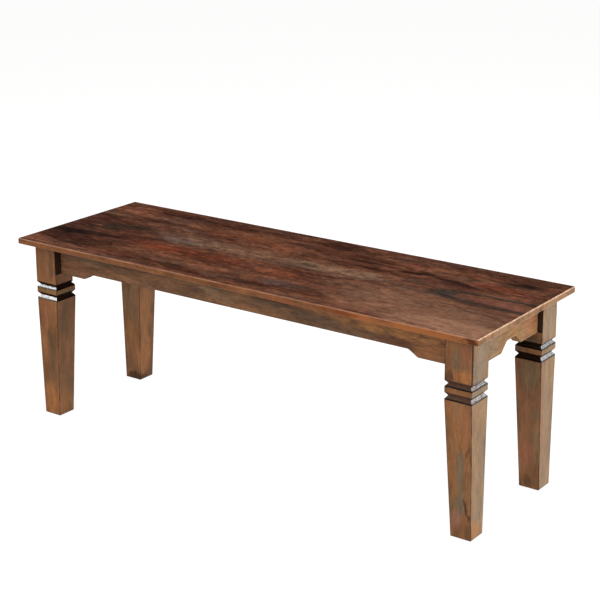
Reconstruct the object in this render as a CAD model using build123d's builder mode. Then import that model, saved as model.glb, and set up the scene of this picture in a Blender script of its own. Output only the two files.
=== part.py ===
from build123d import *
from math import sqrt
import os

# A low wooden bench. Millimetres, +Z up, origin on the floor under the middle of the top.
# X runs along the bench, and the front is the -Y side.

# Overall sizes
bench_length = 1250
bench_depth = 415
bench_height = 450
top_thickness = 14
end_overhang = 27
side_overhang = 29
overrun = 10

# Top boards: shares of the depth, from the front, and the rounding of the rim
board_names = ["top_board_front", "top_board_middle", "top_board_rear"]
board_share = [0.33, 0.40, 0.27]
rim_top_radius = 3
rim_bottom_radius = 2
top_corner_radius = 3

# Dowels across the joints between the boards
dowel_diameter = 6
dowel_length = 30
dowel_ease = 0.8
dowel_clearance = 0.1
dowel_end_gap = 0.5
dowels_per_joint = 6
dowel_spread_share = 0.78

# Legs: a square block, two V grooves with a collar between them, and a shaft whose outer side face
# stays upright while the other three taper
leg_size = 64
foot_size = 48
block_height = 96
upper_groove = 13.5
collar_height = 12
lower_groove = 15
groove_depth = 6
leg_arris_radius = 1.2
foot_bevel = 1
leg_flat = 8

# Aprons, with the cut-out that raises the middle of the lower edge. The flats at its ends are
# shares of their own apron's span, and the ramps are the same share of the end aprons' span.
apron_thickness = 20
apron_height = 72
long_apron_recess = 20
end_apron_recess = 12
arch_rise = 14
end_arch_rise = 21
arch_ramp_share = 0.1
long_apron_flat_share = 0.07
end_apron_flat_share = 0.32
arch_radius = 9
arch_corner_radius = 4
apron_arris_radius = 1.2

# Mortises and tenons
tenon_thickness = 8
tenon_length = 24
tenon_shoulder = 10
glue_clearance = 0.1
mortise_end_gap = 1

# Corner braces and what fastens them
brace_thickness = 20
brace_height = 50
brace_drop = 3
brace_screw_spacing = 24
brace_screw_seat = 5.5
bolt_diameter = 8
bolt_core = 6
bolt_pitch = 3
bolt_grip_in_leg = 28
bolt_head_width = 13
bolt_head_height = 5.5
bolt_hole_clearance = 0.5
washer_diameter = 20
washer_thickness = 1.8

# Wood screws: one kind holds the braces, the other the top
brace_screw_length = 20
brace_screw_diameter = 4
top_screw_length = 22
top_screw_diameter = 4
screw_core_share = 0.68
screw_pitch_share = 0.5
screw_head_share = 1.9
screw_head_height_share = 0.6
screw_plain_share = 0.25
recess_width_share = 0.3
recess_length_share = 1.2
recess_depth_share = 0.35
pilot_clearance = 0.05
pilot_end_gap = 0.5
shank_clearance = 0.2
head_clearance = 0.5

# Cross rail under the middle of the top
rail_thickness = 22
rail_height = 45
rail_tenon_thickness = 10
rail_tenon_length = 10
rail_tenon_height = 33
rail_mortise_gap = 0.5
rail_screw_share = 0.27

# Buttons that hold the top down: the tongue runs in a slot in the apron
button_height = 18
button_depth = 24
button_width = 30
button_tongue = 5.6
button_tongue_length = 7
button_gap = 0.5
button_screw_seat = 5
slot_clearance = 0.2
slot_depth = 8
slot_width = 36
long_button_share = [-0.385, -0.185, 0.185, 0.385]
end_button_share = [0]

# Glides under the feet
glide_diameter = 30
glide_thickness = 2.5
glide_bevel = 0.8
nail_diameter = 2.4
nail_length = 18
nail_head_diameter = 6
nail_head_thickness = 1
nail_head_sink = 0.6
nail_point = 3
nail_clearance = 0.05
nail_head_clearance = 0.2

# Levels and places that follow from the sizes above
underside = bench_height - top_thickness
block_bottom = underside - block_height
collar_top = block_bottom - upper_groove
collar_bottom = collar_top - collar_height
shaft_top = collar_bottom - lower_groove
apron_bottom = underside - apron_height
leg_outer_x = bench_length / 2 - end_overhang
leg_outer_y = bench_depth / 2 - side_overhang
leg_x = leg_outer_x - leg_size / 2
foot_x = leg_outer_x - foot_size / 2
leg_y = leg_outer_y - leg_size / 2
leg_inner_x = leg_outer_x - leg_size
leg_inner_y = leg_outer_y - leg_size
long_apron_y = leg_outer_y - long_apron_recess - apron_thickness / 2
end_apron_x = leg_outer_x - end_apron_recess - apron_thickness / 2
corner_x = end_apron_x - apron_thickness / 2
corner_y = long_apron_y - apron_thickness / 2
tenon_middle = (apron_bottom + underside) / 2
tenon_height = apron_height - 2 * tenon_shoulder
brace_near = (corner_x - leg_inner_x) + (corner_y - leg_inner_y) - leg_flat
brace_far = brace_near + brace_thickness * sqrt(2)
brace_screw_reach = (brace_near + brace_far) / 2
brace_middle = underside - brace_drop - brace_height / 2
slot_height = button_tongue + 2 * slot_clearance
slot_middle = underside - button_height + slot_clearance + button_tongue / 2
dowel_level = underside + top_thickness / 2

corners = {
    "front_left": (-1, -1),
    "front_right": (1, -1),
    "rear_left": (-1, 1),
    "rear_right": (1, 1),
}

os.makedirs("parts", exist_ok=True)


def save(piece, name):
    piece.part.label = name
    export_step(piece.part, f"parts/{name}.step")


# An apron's plane stands upright through the middle of its thickness: local x runs along the
# apron, local y is the height, and local z points out of the bench.
apron_planes = {
    "apron_front": Plane(origin=(0, -long_apron_y, 0), x_dir=(1, 0, 0), z_dir=(0, -1, 0)),
    "apron_rear": Plane(origin=(0, long_apron_y, 0), x_dir=(-1, 0, 0), z_dir=(0, 1, 0)),
    "apron_left": Plane(origin=(-end_apron_x, 0, 0), x_dir=(0, -1, 0), z_dir=(-1, 0, 0)),
    "apron_right": Plane(origin=(end_apron_x, 0, 0), x_dir=(0, 1, 0), z_dir=(1, 0, 0)),
}
apron_spans = {
    "apron_front": 2 * leg_inner_x,
    "apron_rear": 2 * leg_inner_x,
    "apron_left": 2 * leg_inner_y,
    "apron_right": 2 * leg_inner_y,
}
apron_flat_shares = {
    "apron_front": long_apron_flat_share,
    "apron_rear": long_apron_flat_share,
    "apron_left": end_apron_flat_share,
    "apron_right": end_apron_flat_share,
}
arch_rises = {
    "apron_front": arch_rise,
    "apron_rear": arch_rise,
    "apron_left": end_arch_rise,
    "apron_right": end_arch_rise,
}
arch_ramp = arch_ramp_share * 2 * leg_inner_y
button_shares = {
    "apron_front": long_button_share,
    "apron_rear": long_button_share,
    "apron_left": end_button_share,
    "apron_right": end_button_share,
}


def brace_screw_planes(side_x, side_y):
    """Planes on the aprons' inner faces at one corner, facing into the bench, on the screws' axes."""
    places = []
    for step in (-1, 1):
        level = brace_middle + step * brace_screw_spacing / 2
        along_x = (side_x * (corner_x - brace_screw_reach), side_y * corner_y, level)
        along_y = (side_x * corner_x, side_y * (corner_y - brace_screw_reach), level)
        places.append(Plane(origin=along_x, z_dir=(0, -side_y, 0)))
        places.append(Plane(origin=along_y, z_dir=(-side_x, 0, 0)))
    return places


def bolt_plane(side_x, side_y):
    """The plane of the flat on a leg's inner arris, facing into the bench, on the bolt's axis."""
    flat_x = side_x * (leg_inner_x + leg_flat / 2)
    flat_y = side_y * (leg_inner_y + leg_flat / 2)
    return Plane(origin=(flat_x, flat_y, brace_middle), z_dir=(-side_x, -side_y, 0))


def button_planes(apron):
    """Upright planes square to one apron at its buttons: local x points into the bench."""
    inner = apron_planes[apron].offset(-apron_thickness / 2)
    return [
        Plane(
            origin=inner.from_local_coords((share * apron_spans[apron], 0, 0)),
            x_dir=-inner.z_dir,
            z_dir=inner.x_dir,
        )
        for share in button_shares[apron]
    ]


all_button_planes = [plane for apron in apron_planes for plane in button_planes(apron)]
button_screw_reach = (button_gap + button_depth) / 2
button_screw_places = [
    plane.from_local_coords((button_screw_reach, 0, 0)) for plane in all_button_planes
]
rail_screw_places = [(0, step * rail_screw_share * bench_depth) for step in (-1, 0, 1)]


def threaded_shank(plane, length, diameter, core, pitch, plain, top=0):
    """A shank with ridges for its thread and a point, down local z from the plane's level top."""
    ridges = max(1, int((length - plain - diameter) / pitch))
    point_start = top - plain - ridges * pitch
    outline = [(0, top), (diameter / 2, top), (diameter / 2, top - plain)]
    for ridge in range(ridges):
        start = top - plain - ridge * pitch
        outline += [
            (core / 2, start - pitch / 4),
            (core / 2, start - pitch / 2),
            (diameter / 2, start - 3 * pitch / 4),
        ]
    outline += [(core / 2, point_start), (0, top - length)]
    section = Plane(origin=plane.origin, x_dir=plane.x_dir, z_dir=-plane.y_dir)
    with BuildSketch(section) as half_outline:
        with BuildLine():
            Polyline(*outline, close=True)
        make_face()
    revolve(half_outline.sketch, axis=Axis(plane.origin, plane.z_dir))


def wood_screw(plane, length, diameter):
    """A pan head screw whose head sits on the plane, with the shank down local z."""
    head = screw_head_share * diameter
    head_height = screw_head_height_share * diameter
    threaded_shank(
        plane,
        length,
        diameter,
        screw_core_share * diameter,
        screw_pitch_share * diameter,
        screw_plain_share * length,
    )
    with BuildSketch(plane) as head_outline:
        Circle(head / 2)
    extrude(head_outline.sketch, amount=head_height)
    with BuildSketch(plane.offset(head_height)) as recess:
        Rectangle(recess_length_share * diameter, recess_width_share * diameter)
        Rectangle(recess_width_share * diameter, recess_length_share * diameter)
    extrude(recess.sketch, amount=-recess_depth_share * diameter, mode=Mode.SUBTRACT)


# Top boards, glued edge to edge
board_edges = [-bench_depth / 2]
for share in board_share:
    board_edges.append(board_edges[-1] + share * bench_depth / sum(board_share))
joint_places = board_edges[1:-1]
dowel_step = dowel_spread_share * bench_length / (dowels_per_joint - 1)
dowel_places = [
    ((count - (dowels_per_joint - 1) / 2) * dowel_step, 0) for count in range(dowels_per_joint)
]
joint_planes = [
    Plane(origin=(0, place, dowel_level), x_dir=(1, 0, 0), z_dir=(0, 1, 0))
    for place in joint_places
]

for index, name in enumerate(board_names):
    near, far = board_edges[index], board_edges[index + 1]
    is_front, is_rear = index == 0, index == len(board_names) - 1
    with BuildPart() as board:
        with BuildSketch(Plane.XY.offset(underside)):
            with Locations((0, (near + far) / 2)):
                Rectangle(bench_length, far - near)
        extrude(amount=top_thickness)
        if is_front:
            fillet(board.edges().filter_by(Axis.Z).group_by(Axis.Y)[0], top_corner_radius)
        if is_rear:
            fillet(board.edges().filter_by(Axis.Z).group_by(Axis.Y)[-1], top_corner_radius)
        for face, radius in ((-1, rim_top_radius), (0, rim_bottom_radius)):
            rim = board.faces().sort_by(Axis.Z)[face].edges()
            if is_front:
                rim = rim.sort_by(Axis.Y)[:-1]
            elif is_rear:
                rim = rim.sort_by(Axis.Y)[1:]
            else:
                rim = rim.filter_by(Axis.Y)
            fillet(rim, radius)
        for plane in joint_planes:
            with BuildSketch(plane):
                with Locations(*dowel_places):
                    Circle(dowel_diameter / 2 + dowel_clearance)
            extrude(amount=dowel_length / 2 + dowel_end_gap, both=True, mode=Mode.SUBTRACT)
        button_depth_in_top = top_screw_length - (button_height - button_screw_seat)
        with BuildSketch(Plane.XY.offset(underside)):
            with Locations(*[(place.X, place.Y) for place in button_screw_places]):
                Circle(top_screw_diameter / 2 + pilot_clearance)
            with Locations(*rail_screw_places):
                Circle(top_screw_diameter / 2 + pilot_clearance)
        extrude(amount=button_depth_in_top + pilot_end_gap, mode=Mode.SUBTRACT)
    save(board, name)

with BuildPart() as top_dowels:
    for plane in joint_planes:
        with BuildSketch(plane):
            with Locations(*dowel_places):
                Circle(dowel_diameter / 2)
        extrude(amount=dowel_length / 2, both=True)
    chamfer(top_dowels.edges().filter_by(GeomType.CIRCLE), dowel_ease)
save(top_dowels, "top_dowels")


# Legs: above the shaft, the same outline seen from the front and from the side, so the grooves mitre
# at the arrises. Seen from the front, the foot is off the middle by foot_middle
def leg_section(plane, foot_middle):
    half = leg_size / 2
    waist = half - groove_depth
    with BuildSketch(plane) as section:
        with BuildLine():
            for side in (-1, 1):
                foot = foot_middle + side * foot_size / 2
                Polyline(
                    (foot_middle, glide_thickness),
                    (foot - side * foot_bevel, glide_thickness),
                    (foot, glide_thickness + foot_bevel),
                    (side * half, shaft_top),
                    (side * waist, (shaft_top + collar_bottom) / 2),
                    (side * half, collar_bottom),
                    (side * half, collar_top),
                    (side * waist, (collar_top + block_bottom) / 2),
                    (side * half, block_bottom),
                    (side * half, underside),
                    (0, underside),
                )
        make_face()
    return section.sketch


for corner, (side_x, side_y) in corners.items():
    middle = (side_x * leg_x, side_y * leg_y)
    with BuildPart() as leg:
        front = Plane(origin=(*middle, 0), x_dir=(1, 0, 0), z_dir=(0, -1, 0))
        front_view = leg_section(front, side_x * (foot_x - leg_x))
        extrude(front_view, amount=leg_size / 2, both=True)
        side_view = leg_section(Plane(origin=(*middle, 0), x_dir=(0, 1, 0), z_dir=(1, 0, 0)), 0)
        extrude(side_view, amount=leg_size / 2, both=True, mode=Mode.INTERSECT)
        upright = leg.edges().filter_by(Axis.Z)
        block_arrises = upright.group_by(SortBy.LENGTH)[-1]
        inner_arris = block_arrises.sort_by_distance((0, 0, block_bottom))[0]
        shaft_arrises = leg.edges().sort_by(SortBy.LENGTH)[-4:]
        outer_arrises = [arris for arris in block_arrises if arris is not inner_arris]
        chamfer(inner_arris, leg_flat)
        fillet(outer_arrises + list(shaft_arrises), leg_arris_radius)
        collar_arrises = leg.edges().filter_by(Axis.Z).filter_by_position(
            Axis.Z, collar_bottom, collar_top
        )
        fillet(collar_arrises, leg_arris_radius)
        # Mortises for the two aprons' tenons
        mortise_height = tenon_height + 2 * glue_clearance
        mortise_thickness = tenon_thickness + 2 * glue_clearance
        mortise_depth = tenon_length + mortise_end_gap
        with Locations((side_x * leg_inner_x, side_y * long_apron_y, tenon_middle)):
            Box(2 * mortise_depth, mortise_thickness, mortise_height, mode=Mode.SUBTRACT)
        with Locations((side_x * end_apron_x, side_y * leg_inner_y, tenon_middle)):
            Box(mortise_thickness, 2 * mortise_depth, mortise_height, mode=Mode.SUBTRACT)
        # Hole for the bolt, square to the flat, and one for the glide's nail
        with Locations(bolt_plane(side_x, side_y)):
            Hole(bolt_diameter / 2 + pilot_clearance, bolt_grip_in_leg + pilot_end_gap)
        nail_top = glide_thickness - (nail_head_sink + nail_head_thickness)
        foot_plane = Plane(
            origin=(side_x * foot_x, side_y * leg_y, glide_thickness), z_dir=(0, 0, -1)
        )
        with Locations(foot_plane):
            Hole(nail_diameter / 2 + nail_clearance, nail_length - nail_top + pilot_end_gap)
    save(leg, f"leg_{corner}")


# Aprons
for name, plane in apron_planes.items():
    half_span = apron_spans[name] / 2
    arch_half = half_span - apron_flat_shares[name] * apron_spans[name]
    arch_top = apron_bottom + arch_rises[name]
    inner = plane.offset(-apron_thickness / 2)
    with BuildPart() as apron:
        with BuildSketch(plane) as outline:
            with BuildLine():
                Polyline(
                    (-half_span, underside),
                    (-half_span, apron_bottom),
                    (-arch_half, apron_bottom),
                    (-arch_half + arch_ramp, arch_top),
                    (arch_half - arch_ramp, arch_top),
                    (arch_half, apron_bottom),
                    (half_span, apron_bottom),
                    (half_span, underside),
                    close=True,
                )
            make_face()
            ramp_ends = outline.vertices().group_by(Axis.Y)
            fillet(ramp_ends[1], arch_radius)
            fillet(outline.vertices().group_by(Axis.Y)[0].sort_by(Axis.X)[1:-1], arch_corner_radius)
        extrude(amount=apron_thickness / 2, both=True)
        lower_arrises = ShapeList()
        for face in (0, -1):
            side = apron.faces().sort_by(Axis(plane.origin, plane.z_dir))[face]
            lower_arrises += side.edges().filter_by(Axis.Z, reverse=True).sort_by(Axis.Z)[:-1]
        fillet(lower_arrises, apron_arris_radius)
        # Tenons at both ends
        with BuildSketch(plane):
            for side in (-1, 1):
                with Locations((side * (half_span + tenon_length / 2), tenon_middle)):
                    Rectangle(tenon_length, tenon_height)
        extrude(amount=tenon_thickness / 2, both=True)
        # Slots for the buttons' tongues, in the inner face
        with BuildSketch(inner):
            for share in button_shares[name]:
                with Locations((share * apron_spans[name], slot_middle)):
                    Rectangle(slot_width, slot_height)
        extrude(amount=slot_depth, mode=Mode.SUBTRACT)
        # Holes for the brace screws
        with BuildSketch(inner):
            for side in (-1, 1):
                corner_place = corner_x if half_span == leg_inner_x else corner_y
                for step in (-1, 1):
                    level = brace_middle + step * brace_screw_spacing / 2
                    with Locations((side * (corner_place - brace_screw_reach), level)):
                        Circle(brace_screw_diameter / 2 + pilot_clearance)
        extrude(
            amount=brace_screw_length - brace_screw_seat + pilot_end_gap, mode=Mode.SUBTRACT
        )
        # Mortise for the cross rail, in the long aprons only
        if half_span == leg_inner_x:
            with BuildSketch(inner):
                with Locations((0, underside - rail_height / 2)):
                    Rectangle(
                        rail_tenon_thickness + 2 * glue_clearance,
                        rail_tenon_height + 2 * glue_clearance,
                    )
            extrude(amount=rail_tenon_length + rail_mortise_gap, mode=Mode.SUBTRACT)
    save(apron, name)


# Corner braces: blocks mitred to both aprons, tight against the flat on the leg
for corner, (side_x, side_y) in corners.items():
    with BuildPart() as brace:
        with BuildSketch(Plane.XY.offset(brace_middle - brace_height / 2)):
            with BuildLine():
                Polyline(
                    (side_x * (corner_x - brace_near), side_y * corner_y),
                    (side_x * (corner_x - brace_far), side_y * corner_y),
                    (side_x * corner_x, side_y * (corner_y - brace_far)),
                    (side_x * corner_x, side_y * (corner_y - brace_near)),
                    close=True,
                )
            make_face()
        extrude(amount=brace_height)
        with Locations(bolt_plane(side_x, side_y)):
            Cylinder(
                bolt_diameter / 2 + bolt_hole_clearance,
                2 * (brace_thickness + overrun),
                mode=Mode.SUBTRACT,
            )
        for plane in brace_screw_planes(side_x, side_y):
            with BuildSketch(plane):
                Circle(brace_screw_diameter / 2 + shank_clearance)
            extrude(amount=brace_thickness, mode=Mode.SUBTRACT)
            with BuildSketch(plane.offset(brace_screw_seat)):
                Circle(screw_head_share * brace_screw_diameter / 2 + head_clearance)
            extrude(amount=brace_thickness, mode=Mode.SUBTRACT)
    save(brace, f"corner_brace_{corner}")

with BuildPart() as brace_screws:
    for side_x, side_y in corners.values():
        for plane in brace_screw_planes(side_x, side_y):
            wood_screw(plane.offset(brace_screw_seat), brace_screw_length, brace_screw_diameter)
save(brace_screws, "brace_screws")

with BuildPart() as leg_bolts:
    for side_x, side_y in corners.values():
        head_seat = bolt_plane(side_x, side_y).offset(brace_thickness + washer_thickness)
        bolt_length = brace_thickness + washer_thickness + bolt_grip_in_leg
        threaded_shank(
            head_seat,
            bolt_length,
            bolt_diameter,
            bolt_core,
            bolt_pitch,
            brace_thickness + washer_thickness,
        )
        with BuildSketch(head_seat):
            RegularPolygon(bolt_head_width / 2, 6, major_radius=False)
        extrude(amount=bolt_head_height)
save(leg_bolts, "leg_bolts")

with BuildPart() as leg_bolt_washers:
    for side_x, side_y in corners.values():
        with BuildSketch(bolt_plane(side_x, side_y).offset(brace_thickness)):
            Circle(washer_diameter / 2)
            Circle(bolt_diameter / 2 + bolt_hole_clearance, mode=Mode.SUBTRACT)
        extrude(amount=washer_thickness)
save(leg_bolt_washers, "leg_bolt_washers")


# Cross rail, with its stub tenons and the counterbored holes for the top's screws
rail_screw_level = underside - (button_height - button_screw_seat)
with BuildPart() as cross_rail:
    with Locations((0, 0, underside - rail_height / 2)):
        Box(rail_thickness, 2 * corner_y, rail_height)
        Box(
            rail_tenon_thickness,
            2 * (corner_y + rail_tenon_length),
            rail_tenon_height,
        )
    with BuildSketch(Plane.XY.offset(underside)):
        with Locations(*rail_screw_places):
            Circle(top_screw_diameter / 2 + shank_clearance)
    extrude(amount=-rail_height, mode=Mode.SUBTRACT)
    with BuildSketch(Plane.XY.offset(rail_screw_level)):
        with Locations(*rail_screw_places):
            Circle(screw_head_share * top_screw_diameter / 2 + head_clearance)
    extrude(amount=-rail_height, mode=Mode.SUBTRACT)
save(cross_rail, "cross_rail")

with BuildPart() as rail_screws:
    for place in rail_screw_places:
        seat = Plane(origin=(*place, rail_screw_level), z_dir=(0, 0, -1))
        wood_screw(seat, top_screw_length, top_screw_diameter)
save(rail_screws, "rail_screws")


# Buttons: a block under the top with a tongue in the apron's slot
with BuildPart() as top_buttons:
    for plane in all_button_planes:
        with BuildSketch(plane):
            with BuildLine():
                tongue_bottom = slot_middle - button_tongue / 2
                tongue_top = slot_middle + button_tongue / 2
                Polyline(
                    (button_gap, underside),
                    (button_depth, underside),
                    (button_depth, underside - button_height),
                    (button_gap, underside - button_height),
                    (button_gap, tongue_bottom),
                    (-button_tongue_length, tongue_bottom),
                    (-button_tongue_length, tongue_top),
                    (button_gap, tongue_top),
                    close=True,
                )
            make_face()
        extrude(amount=button_width / 2, both=True)
    for place in button_screw_places:
        with BuildSketch(Plane(origin=(place.X, place.Y, underside))):
            Circle(top_screw_diameter / 2 + shank_clearance)
        extrude(amount=-button_height, mode=Mode.SUBTRACT)
        with BuildSketch(Plane(origin=(place.X, place.Y, underside - button_height))):
            Circle(screw_head_share * top_screw_diameter / 2 + head_clearance)
        extrude(amount=button_screw_seat, mode=Mode.SUBTRACT)
save(top_buttons, "top_buttons")

with BuildPart() as button_screws:
    for place in button_screw_places:
        level = underside - button_height + button_screw_seat
        seat = Plane(origin=(place.X, place.Y, level), z_dir=(0, 0, -1))
        wood_screw(seat, top_screw_length, top_screw_diameter)
save(button_screws, "button_screws")


# Glides under the feet, each held by a nail
nail_seat = nail_head_sink + nail_head_thickness
for corner, (side_x, side_y) in corners.items():
    with BuildPart() as glide:
        with BuildSketch(Plane(origin=(side_x * foot_x, side_y * leg_y, 0))):
            Circle(glide_diameter / 2)
        extrude(amount=glide_thickness)
        chamfer(glide.edges().group_by(Axis.Z)[0], glide_bevel)
        with BuildSketch(Plane(origin=(side_x * foot_x, side_y * leg_y, 0))):
            Circle(nail_diameter / 2 + nail_clearance)
        extrude(amount=glide_thickness, mode=Mode.SUBTRACT)
        with BuildSketch(Plane(origin=(side_x * foot_x, side_y * leg_y, 0))):
            Circle(nail_head_diameter / 2 + nail_head_clearance)
        extrude(amount=nail_seat, mode=Mode.SUBTRACT)
    save(glide, f"glide_{corner}")

with BuildPart() as glide_nails:
    for side_x, side_y in corners.values():
        foot_middle = (side_x * foot_x, side_y * leg_y, 0)
        with BuildSketch(Plane(origin=foot_middle, x_dir=(1, 0, 0), z_dir=(0, -1, 0))):
            with BuildLine():
                Polyline(
                    (0, nail_head_sink),
                    (nail_head_diameter / 2, nail_head_sink),
                    (nail_head_diameter / 2, nail_seat),
                    (nail_diameter / 2, nail_seat),
                    (nail_diameter / 2, nail_seat + nail_length - nail_point),
                    (0, nail_seat + nail_length),
                    close=True,
                )
            make_face()
        revolve(axis=Axis(foot_middle, (0, 0, 1)))
save(glide_nails, "glide_nails")
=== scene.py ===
from math import radians, sin, cos
import bpy
from mathutils import Matrix, Vector

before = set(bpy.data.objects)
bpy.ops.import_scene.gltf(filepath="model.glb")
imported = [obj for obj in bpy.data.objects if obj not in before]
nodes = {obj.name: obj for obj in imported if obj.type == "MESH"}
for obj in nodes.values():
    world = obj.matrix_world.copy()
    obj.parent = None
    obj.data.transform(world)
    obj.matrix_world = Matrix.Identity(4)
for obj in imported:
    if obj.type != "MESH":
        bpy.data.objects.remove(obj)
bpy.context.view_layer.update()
corners = ("front_left", "front_right", "rear_left", "rear_right")
print("frame loaded:", len(nodes), "pieces of the bench")

# a Mix node has sockets of one name for numbers and for colours, so they go by their places
shareIn, numberIn, otherNumberIn, colourIn, otherColourIn = 0, 2, 3, 6, 7
colourOut = 2


def linearColour(hexColour):
    # each sRGB channel c becomes c/12.92 below 0.04045, and ((c + 0.055)/1.055)^2.4 above it
    channels = [int(hexColour[i:i + 2], 16) / 255 for i in (1, 3, 5)]
    return [c / 12.92 if c <= 0.04045 else ((c + 0.055) / 1.055) ** 2.4 for c in channels] + [1.0]


def addNode(tree, kind, inputs=None, stops=None, **settings):
    # one node with its settings: a value in inputs is set on the socket, and a socket is linked
    # to it. The terms of a Math node share one name, so they go by their places
    node = tree.nodes.new(kind)
    for name, value in settings.items():
        setattr(node, name, value)
    for name, value in (inputs or {}).items():
        if isinstance(value, bpy.types.NodeSocket):
            tree.links.new(value, node.inputs[name])
        else:
            node.inputs[name].default_value = value
    if stops:
        ramp = node.color_ramp
        while len(ramp.elements) < len(stops):
            ramp.elements.new(0.5)
        for element, (position, colour) in zip(ramp.elements, stops):
            element.position = position
            element.color = linearColour(colour)
    return node


def newMaterial(name):
    material = bpy.data.materials.new(name)
    material.use_nodes = True
    material.node_tree.nodes.clear()
    return material, material.node_tree


def dress(names, material):
    for name in names:
        mesh = nodes[name].data
        mesh.materials.clear()
        mesh.materials.append(material)


def byGrain(grain, along, across):
    # the x, y and z of something that is one size along the grain and another across it
    return [along if axis == grain else across for axis in "xyz"]


def figure(tree, place, grain, size, shift, detail, roughness):
    # cloudy streaks that run with the grain: noise on the place scaled by one over the streaks'
    # length and width (m). The shift gives each pattern a part of the noise of its own
    length, width = size
    scaled = addNode(tree, "ShaderNodeMapping", {
        "Vector": place, "Scale": byGrain(grain, 1 / length, 1 / width), "Location": shift})
    return addNode(tree, "ShaderNodeTexNoise", {
        "Vector": scaled.outputs[0], "Scale": 1.0, "Detail": detail, "Roughness": roughness})


def bend(tree, place, pull, amounts):
    # moves a place by a cloudy colour less one half, times the amounts in metres
    centred = addNode(tree, "ShaderNodeVectorMath", {0: pull, 1: (0.5, 0.5, 0.5)},
                      operation="SUBTRACT")
    return addNode(tree, "ShaderNodeVectorMath", {0: centred.outputs[0], 1: amounts, 2: place},
                   operation="MULTIPLY_ADD").outputs[0]


def distanceFrom(tree, value, middle):
    # the size of the difference of two numbers
    apart = addNode(tree, "ShaderNodeMath", {0: value, 1: middle}, operation="SUBTRACT")
    return addNode(tree, "ShaderNodeMath", {0: apart.outputs[0]}, operation="ABSOLUTE").outputs[0]


def turnedTo(tree, facing, axes):
    # how far a face is turned to some axes: the length of its normal's part along them
    part = addNode(tree, "ShaderNodeVectorMath", {0: facing, 1: axes}, operation="MULTIPLY")
    return addNode(tree, "ShaderNodeVectorMath", {0: part.outputs[0]},
                   operation="LENGTH").outputs["Value"]


def fadingBlob(tree, place, middle, halfSizes, turn=(0, 0, 0)):
    # 1 in the middle of an ellipsoid, falling evenly to 0 at its skin
    inBlob = addNode(tree, "ShaderNodeMapping", {
        "Vector": place, "Location": middle, "Scale": halfSizes,
        "Rotation": [radians(angle) for angle in turn]}, vector_type="TEXTURE")
    return addNode(tree, "ShaderNodeTexGradient", {0: inBlob.outputs[0]},
                   gradient_type="SPHERICAL").outputs[1]


# How the wood grows and is worked, the same in every board. Sizes are length along the grain and
# width across it (m), and ranges are the part of a noise where something begins and is full
habit = dict(
    wander=(0.40, 0.11), wanderPull=(0.04, 0.022),     # slow waves of the grain
    raggedEnds=(0.050, 0.022), raggedAcross=0.35,      # clouds' ends, less ragged across the grain
    oliveLength=0.8, oliveWidth=0.7,                   # olive clouds as shares of the brown ones
    oliveRange=(0.50, 0.68),
    patchRange=(0.36, 0.60), patchStrength=(0.25, 1.5), markFull=0.60,    # a mark's breaking up
    # growth lines: where they fade, how far along each begins to darken, and the tone beside it
    lineFade=(0.12, 0.05), lineFadeRange=(0.40, 0.62), lineSharpens=0.35, besideLine=1.04,
    fleckRange=(0.34, 0.66),
    pores=(0.014, 0.0020), poreRange=(0.58, 0.70),     # 2 mm wide, as the real 0.3 can't show
    wear=(0.05, 0.02), wearRange=(0.35, 0.60), leastWear=0.35, arrisRange=(0.10, 0.42),
    filmStrokes=(0.0030, 0.011), strokeRange=(0.42, 0.54),
    filmRuns=150.0, runsStrength=0.5,                  # ripples of the lacquer in a metre
    glossRange=(0.3, 0.7), rougher=0.05, smoother=0.04,    # the gloss varies with the wear
    boxBlur=0.0004,                                   # half the width of a dark box's soft rim (m)
    grainDepth=0.0003, grainStrength=0.4,              # pores and flecks in the surface (m)
)


def stain(tree, colour, place, patchy, marks):
    # marks of this very board, broken up by a patchy field. Each is a middle and half sizes (m),
    # a tone, a strength and, for some, a turn (degrees)
    for middle, halfSizes, tone, strength, *turn in marks:
        blob = fadingBlob(tree, place, middle, halfSizes, *turn)
        broken = addNode(tree, "ShaderNodeMath", {0: blob, 1: patchy}, operation="MULTIPLY")
        share = addNode(tree, "ShaderNodeMapRange", {
            "Value": broken.outputs[0], "From Max": habit["markFull"], "To Max": strength},
            interpolation_type="SMOOTHSTEP").outputs[0]
        colour = addNode(tree, "ShaderNodeMix", {
            shareIn: share, colourIn: colour, otherColourIn: linearColour(tone)},
            data_type="RGBA").outputs[colourOut]
    return colour


def heartwood(tree, look, flow):
    # the ground: clouds of heartwood tones, and some olive-grey ones
    grain, seed = look["grain"], look["seed"]
    length, width = look["clouds"]
    clouds = figure(tree, flow, grain, (length, width), (0, 0, seed), detail=5.0, roughness=0.6)
    colour = addNode(tree, "ShaderNodeValToRGB", {0: clouds.outputs[0]},
                     stops=look["tones"]).outputs[0]
    olive = figure(tree, flow, grain,
                   (length * habit["oliveLength"], width * habit["oliveWidth"]),
                   (seed, seed, 1.7), detail=5.0, roughness=0.6)
    begins, full = habit["oliveRange"]
    share = addNode(tree, "ShaderNodeMapRange", {
        "Value": olive.outputs[0], "From Min": begins, "From Max": full,
        "To Max": look["oliveShare"]}).outputs[0]
    return addNode(tree, "ShaderNodeMix", {
        shareIn: share, colourIn: colour, otherColourIn: linearColour(look["olive"])},
        data_type="RGBA").outputs[colourOut]


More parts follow.
